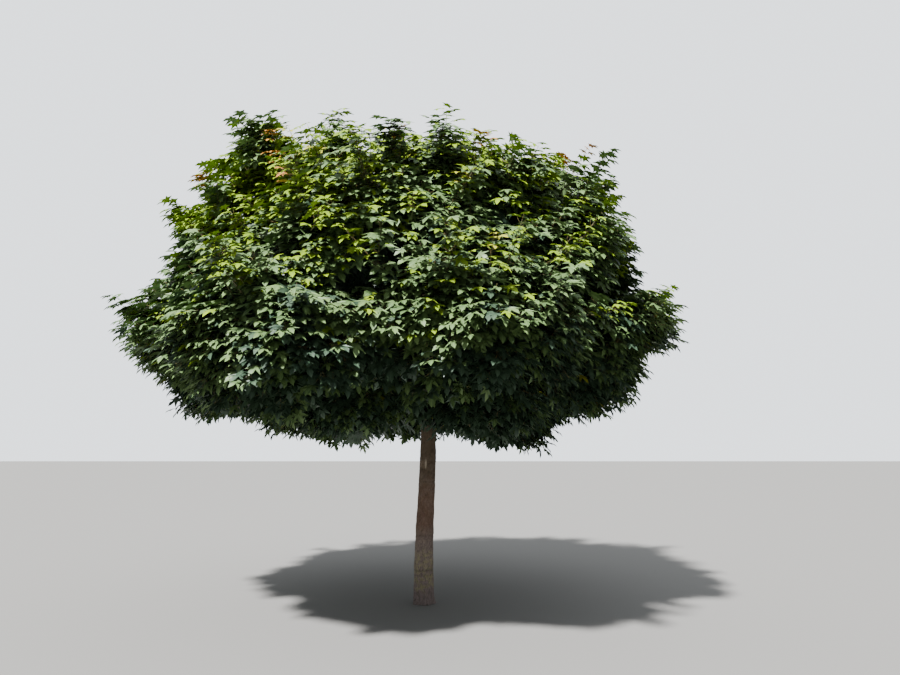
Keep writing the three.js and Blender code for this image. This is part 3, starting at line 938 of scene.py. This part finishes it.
# Tufts of young shoots stand out of the crown, where the photograph has them and as often on other sides.
def growShoots(points, normals, rng):
    right, above, _ = throughCamera()
    pixels, perPixel = seenAt(points)
    towards = ((np.array(camera["place"]) - points) * normals).sum(1)
    front = np.flatnonzero(towards > 0)
    middle = (pixels.min(axis=0) + pixels.max(axis=0)) / 2
    away = pixels - middle
    turns = np.degrees(np.arctan2(away[:, 1], away[:, 0])) / (360 / shoots["sectors"])
    sector = np.floor(turns).astype(int) % shoots["sectors"]
    reach = lengths(away)
    edge = np.zeros(shoots["sectors"])
    np.maximum.at(edge, sector, reach)
    feet, heads, forced = [], [], []
    for end, count, spread, tintName in seenTufts:
        target = end + unit(middle - end) * shoots["leafReach"]
        nearest = front[lengths(pixels[front] - target).argmin()]
        off = (target - pixels[nearest]) * perPixel[nearest]
        head = points[nearest] + right * off[0] - above * off[1]
        foot = points[nearest] - normals[nearest] * shoots["root"]
        for _ in range(count):
            heads.append(head + rng.uniform(-spread, spread, 3) - upward * rng.uniform(0, spread))
            feet.append(foot + rng.uniform(-spread, spread, 3))
            forced.append(tintNames.index(tintName))
    upper = np.flatnonzero((normals[:, 2] > shoots["facing"]) & (reach < shoots["edgeShare"] * edge[sector]))
    for i in rng.choice(upper, shoots["others"], replace=False):
        way = unit(normals[i] + upward * rng.uniform(*shoots["rise"]))
        head = points[i] + way * rng.uniform(*shoots["stand"])
        foot = points[i] - normals[i] * shoots["root"]
        for _ in range(rng.integers(1, 4)):
            heads.append(head + rng.normal(0, shoots["headSpread"], 3))
            feet.append(foot + rng.normal(0, shoots["footSpread"], 3))
            forced.append(rng.choice(len(tintNames), p=shoots["otherTints"]))
    feet, heads = np.array(feet), np.clip(heads, cadBox[0], cadBox[1])
    middles = (feet + heads) / 2 - shoots["sag"] * upward
    return np.stack([feet, middles, heads], axis=1), np.array(forced)


# Shelves of leaves, each on a branch of its own, are made up of sprays. Between two of either, the leaves
# fall back by the depth given, but not nearer than "level" to the middle of one.
shelf = {"spacing": 0.6, "flatness": 1.5, "depth": 0.2, "level": 0.08}
spray = {"spacing": 0.29, "flatness": 2.0, "depth": 0.16, "level": 0.06, "inset": (-0.06, 0.1)}

twig = {
    "trunkRoom": 0.24,
    "fallEdge": 0.68,  # where the leaves have fallen back wholly, as a share of the spacing
    "fullBelow": 0.5,  # how much less they do on the underside
    "underside": (0.1, -0.4),
    "branchDepth": 0.52,  # from a shelf's edge in to where its branch ends
    "branchBow": 0.06,
    "branchUneven": 0.04,
    "spacing": 0.105,  # between the ends of two twigs
    "inset": (0.05, 0.12),  # from the end of a twig to the mass's outside
    "uneven": 0.025,
    "least": 0.34,
    "farthestBack": 0.6,  # where a twig leaves its branch, as a share from the branch's end
    "back": (0, 0.08),
    "bow": (-0.02, 0.07),
    "shelfTint": 0.6,  # the rest of a twig's tint is its own
    "fromHeart": 0.4,
}

shade = {  # twigs with large hanging leaves, inside the crown
    "spacing": 0.088,
    "depth": (0.34, 1.85),
    "back": (0.05, 0.3),
    "least": 0.05,
    "bow": 0.02,
    "outwards": 0.8,
    # painted shade inside the crown, as well as the darker green of real shade leaves
    "tint": -0.5,
}

tubes = {  # radii are in metres, from the foot of a branch or twig to its end
    "stemSides": 8,
    "stemRows": 5,
    "stemBuried": 0.01,  # in the bough, as a share of its length
    "branchSides": 5,
    "branchRadii": (0.013, 0.0105, 0.0085, 0.006),
    "twigSides": 3,
    "twigRadii": (0.0042, 0.0032, 0.0018),
    "stalkWidth": 0.0017,
}


# Which of the spots each point belongs to, and how far its leaves fall back there
def fallBack(points, spots, rule):
    gap = lengths((points[:, None] - spots[None]) * [1, 1, rule["flatness"]])
    fall = rule["depth"] * smooth(rule["level"], rule["spacing"] * twig["fallEdge"], gap.min(axis=1))
    return gap.argmin(axis=1), fall


def growFoliage(masses, rng):
    points, normals, owners = outsideOf(masses)
    points = bent(points, normals)
    fromTrunk = np.hypot(points[:, 0] - trunk["lean"], points[:, 1])
    clear = (fromTrunk > twig["trunkRoom"]) | (points[:, 2] > crown["heart"][2])
    order = rng.permutation(np.flatnonzero(clear))
    points, normals, owners = points[order], normals[order], owners[order]

    def spotsOf(rule):
        return thinned(points * [1, 1, rule["flatness"]], rule["spacing"])

    shelfIds = spotsOf(shelf)
    shelves = points[shelfIds]
    starts = np.array([mass["coreCentre"] for mass in masses])[owners[shelfIds]]
    ends = shelves - normals[shelfIds] * twig["branchDepth"]
    bow = upward * twig["branchBow"] + rng.normal(0, twig["branchUneven"], shelves.shape)

    def onBranch(some, share):
        return starts[some] * (1 - share) + ends[some] * share + 4 * share * (1 - share) * bow[some]

    branches = onBranch(np.s_[:, None], np.linspace(0, 1, len(tubes["branchRadii"]))[None, :, None])

    tipIds = thinned(points, twig["spacing"])
    tips, tipNormals = points[tipIds], normals[tipIds]
    parent, fall = fallBack(tips, shelves, shelf)
    sprays = points[spotsOf(spray)]
    ownSpray, sprayFall = fallBack(tips, sprays, spray)
    fall = fall + sprayFall + rng.uniform(*spray["inset"], len(sprays))[ownSpray]
    fall = fall * (1 - twig["fullBelow"] * smooth(*twig["underside"], tipNormals[:, 2]))
    inset = rng.uniform(*twig["inset"], len(tips)) + fall
    heads = tips - tipNormals * inset[:, None] + rng.normal(0, twig["uneven"], tips.shape)
    heads = np.clip(heads, cadBox[0], cadBox[1])
    stems = (ends - starts)[parent]
    short = np.maximum(0, twig["least"] - lengths(heads - ends[parent]))
    back = np.minimum(short / lengths(stems), twig["farthestBack"])
    back = back + rng.uniform(*twig["back"], len(tips))
    feet = ends[parent] - stems * back[:, None] + 4 * (back * (1 - back))[:, None] * bow[parent]
    middles = (heads + feet) / 2 + rng.uniform(*twig["bow"], (len(tips), 1)) * upward
    outerTwigs = np.stack([feet, middles, heads], axis=1)
    shared = twig["shelfTint"]
    tint = rng.uniform(0, 1, len(shelves))[parent] * shared + rng.uniform(0, 1, len(tips)) * (1 - shared)
    fromHeart = unit((tips - crown["heart"]) * [1, 1, 0])
    flatOut = unit(unit(tipNormals * [1, 1, 0] + 1e-6) + fromHeart * twig["fromHeart"])
    outer = leafPairs(outerTwigs, tipNormals, flatOut, tint, None, "outer", rng)

    shootTwigs, forced = growShoots(points, normals, rng)
    ways = unit(shootTwigs[:, 2] - shootTwigs[:, 0])
    flatOut = unit((shootTwigs[:, 2] - crown["heart"]) * [1, 1, 0])
    tufts = leafPairs(shootTwigs, ways, flatOut, np.full(len(ways), 0.5), forced, "shoot", rng)
    outer = {key: np.concatenate([value, tufts[key]]) for key, value in outer.items()}

    # every second point is enough to find the shade twigs' places
    innerIds = thinned(points[::2], shade["spacing"]) * 2
    tops = points[innerIds] - normals[innerIds] * rng.uniform(*shade["depth"], (len(innerIds), 1))
    parent = lengths(tops[:, None] - ends[None]).argmin(axis=1)
    stems = (ends - starts)[parent]
    level = ((tops - starts[parent]) * stems).sum(1) / (stems * stems).sum(1)
    share = np.clip(level - rng.uniform(*shade["back"], len(tops)), shade["least"], 1)[:, None]
    roots = onBranch(parent, share)
    innerTwigs = np.stack([roots, (roots + tops) / 2 + shade["bow"] * upward, tops], axis=1)
    away = unit(tops - roots)
    flatOut = unit(away * [1, 1, 0] + normals[innerIds] * [shade["outwards"], shade["outwards"], 0])
    inner = leafPairs(innerTwigs, away, flatOut, np.full(len(roots), shade["tint"]), None, "inner", rng)
    return branches, np.concatenate([outerTwigs, shootTwigs, innerTwigs]), outer, inner


# Where the pairs of leaves sit, in metres back from the twig's end, and how they differ from the outer ones
leafRows = {
    "outer": {"stations": (0.0, 0.04, 0.085, 0.135, 0.19, 0.25), "stalk": 1, "hang": 0, "size": 1},
    "shoot": {"stations": (0.0, 0.045, 0.1, 0.16, 0.23, 0.31), "stalk": 1, "hang": 0, "size": 1},
    "inner": {"stations": (0.0, 0.06, 0.13, 0.2), "stalk": 0, "hang": 0.9, "size": 1.15},
}

leaf = {
    "uneven": 0.3,
    "room": 0.02,  # that a twig has behind its last pair
    "forwards": (0.4, 0.9),  # the stalk's way: along the twig, outwards, upwards
    "outwards": 0.45,
    "upwards": 0.1,
    "stalk": (0.04, 0.09),
    "endStalk": 0.5,
    "stalkShare": (0.8, 0.8, 0.2),  # the leaf's way: as its stalk, outwards, and down by "hang"
    "flatShare": 0.5,
    "hang": (0.22, 0.8),
    "faceOut": 0.75,
    "roll": 0.25,
    "length": (0.112, 0.148),
    "endLength": 0.74,  # the leaves grow from the twig's end back
    "growth": 0.09,
    "grownAt": 4,
    "youngSize": 0.8,
    "proud": 0.1,  # the most that a leaf may reach past the model's box
}

# A leaf is the fresher the higher it hangs, which is painted light: sunlit yellow-green at the top and
# painted shade low down. It is also fresher by its twig's tint, and the nearer it is to the twig's end.
tintRule = {
    "heightLight": [(0.4, 1.9, 3.0), (0.42, 3.1, 4.1)],  # each: how much, from and to which height
    "twig": 0.75,
    "depth": -0.35,
    "uneven": 0.12,
    "green": 0.3,
    "fresh": 0.86,
    "yellowShare": 0.004,
    "yellowDepth": 0.6,
    "forcedPairs": 2,  # of yellow or rust on a shoot, counted from its end
}


# Opposite leaves at each station of each twig, every pair turned square to the last, and one leaf at the end
def leafPairs(twigs, normals, flatOut, tint, forced, rowName, rng):
    row = leafRows[rowName]
    made = []
    feet, middles, heads = twigs[:, 0], twigs[:, 1], twigs[:, 2]
    along = unit(heads - middles)
    twigLength = lengths(heads - feet)
    sideA = unit(np.cross(along, upward + rng.normal(0, leaf["uneven"], along.shape)))
    sideB = np.cross(along, sideA)
    # painted light: the higher a leaf hangs, the paler and yellower its tint; low leaves stay deep as
    # painted shade
    lift = sum(most * smooth(low, high, heads[:, 2]) for most, low, high in tintRule["heightLight"])
    for number, back in enumerate(row["stations"]):
        fits = twigLength > back + leaf["room"]
        age = min(number, leaf["grownAt"])
        for hand in (-1, 1) if number else (1,):
            count = int(fits.sum())
            stem = along[fits]
            if number:
                across = (sideA if number % 2 else sideB)[fits] * hand
                stem = across + along[fits] * rng.uniform(*leaf["forwards"], (count, 1))
            stem = stem + normals[fits] * leaf["outwards"] + upward * leaf["upwards"]
            inward = np.minimum((stem * normals[fits]).sum(1, keepdims=True), 0)
            stem = unit(stem - 2 * inward * normals[fits])
            foot = heads[fits] - (heads - feet)[fits] * (back / twigLength[fits][:, None])
            stalk = rng.uniform(*leaf["stalk"], (count, 1)) * (1 if number else leaf["endStalk"])
            hang = rng.uniform(*leaf["hang"], (count, 1)) + row["hang"]
            axis = stem * leaf["stalkShare"] + flatOut[fits] * leaf["flatShare"] - upward * hang
            face = upward + flatOut[fits] * leaf["faceOut"] + rng.normal(0, leaf["roll"], (count, 3))
            size = rng.uniform(*leaf["length"], count)
            size = size * (leaf["endLength"] + leaf["growth"] * age) * row["size"]
            depth = age / leaf["grownAt"]
            freshnessAndLight = lift[fits] + tintRule["twig"] * tint[fits] + tintRule["depth"] * depth
            freshnessAndLight = freshnessAndLight + rng.normal(0, tintRule["uneven"], count)
            kind = np.where(freshnessAndLight > tintRule["green"], green, deep)
            kind = np.where(freshnessAndLight > tintRule["fresh"], fresh, kind)
            chance = rng.uniform(0, 1, count) < tintRule["yellowShare"]
            kind = np.where(chance & (depth < tintRule["yellowDepth"]), yellow, kind)
            if forced is not None:
                size = size * np.where(forced[fits] == green, 1, leaf["youngSize"])
                whole = (number <= tintRule["forcedPairs"]) | (forced[fits] < yellow)
                kind = np.where(whole, forced[fits], fresh)
            root = foot + stem * (stalk * row["stalk"])
            made.append({"root": root, "axis": axis, "face": face, "size": size, "kind": kind, "foot": foot})
    leaves = {key: np.concatenate([some[key] for some in made]) for key in made[0]}
    ends = leaves["root"] + unit(leaves["axis"]) * leaves["size"][:, None]
    low, high = np.array(cadBox[0]) - leaf["proud"], np.array(cadBox[1]) + leaf["proud"]
    kept = ((ends > low) & (ends < high)).all(axis=1)
    return {key: value[kept] for key, value in leaves.items()}


pieceLimit = 190000  # triangles in one joined piece


def addJoined(name, nodes, count, build, material):
    perPiece = pieceLimit // len(build(slice(0, 1))[1])
    for number, first in enumerate(range(0, count, perPiece)):
        parts = build(slice(first, first + perPiece))
        piece = pieceFromArrays(f"{name}_{number + 1}", *parts, material)
        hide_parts(*nodes)


def makeFoliage(masses, limbs):
    rng = np.random.default_rng(7919)
    branches, twigs, outer, inner = growFoliage(masses, rng)
    nodes = ["foliage_" + mass["name"] for mass in masses]

    # each bough runs on as a stem into its mass, where the branches start
    rows, buried = tubes["stemRows"], tubes["stemBuried"]
    stems = np.array([alongCurve(limb, np.linspace(limb["end"] - buried, 1, rows)) for limb in limbs])
    stemRadii = np.array([radiusOn(limb, np.linspace(limb["end"], 1, rows)) for limb in limbs])
    vertices, triangles = tubesRound(stems, stemRadii, tubes["stemSides"])
    branchRadii = np.tile(tubes["branchRadii"], (len(branches), 1))
    more, moreTriangles = tubesRound(branches, branchRadii, tubes["branchSides"])
    triangles = np.concatenate([triangles, moreTriangles + len(vertices)])
    vertices = np.concatenate([vertices, more])
    piece = pieceFromArrays("branches", vertices, triangles, None, twigMaterial("branch_bark"))
    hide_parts(*nodes)

    def buildTwigs(some):
        radii = np.tile(tubes["twigRadii"], (len(twigs[some]), 1))
        return *tubesRound(twigs[some], radii, tubes["twigSides"]), None

    def buildStalks(some):
        return *stalksAt(outer["foot"][some], outer["root"][some], tubes["stalkWidth"]), None

    addJoined("twigs", nodes, len(twigs), buildTwigs, twigMaterial("twig_bark"))
    addJoined("leaf_stalks", nodes, len(outer["foot"]), buildStalks, twigMaterial("leaf_stalk"))
    for number, name in enumerate(tintNames):
        material = leafMaterial(name)
        for shape, leaves in (("outer", outer), ("inner", inner)):
            chosen = np.flatnonzero(leaves["kind"] == number)
            if not len(chosen):
                continue
            parts = [leaves[key][chosen] for key in ("root", "axis", "face", "size")]
            addJoined(f"leaves_{name}_{shape}", nodes, len(chosen),
                      lambda some: leavesAt(shape, *[part[some] for part in parts]), material)
    counts = len(branches), len(twigs), len(outer["root"]), len(inner["root"])
    print("foliage: %d branches, %d twigs, %d outer and %d inner leaves" % counts)


makeStudio()
masses = makeMasses()
limbs = makeLimbs(masses)
print("studio, masses and limbs placed")

makeTrunk(barkMaterial("trunk_bark", True))
boughBark = barkMaterial("bough_bark", False)
for index, limb in enumerate(limbs):
    makeBough(limb, boughBark, index)
print("trunk and boughs made")

makeFoliage(masses, limbs)
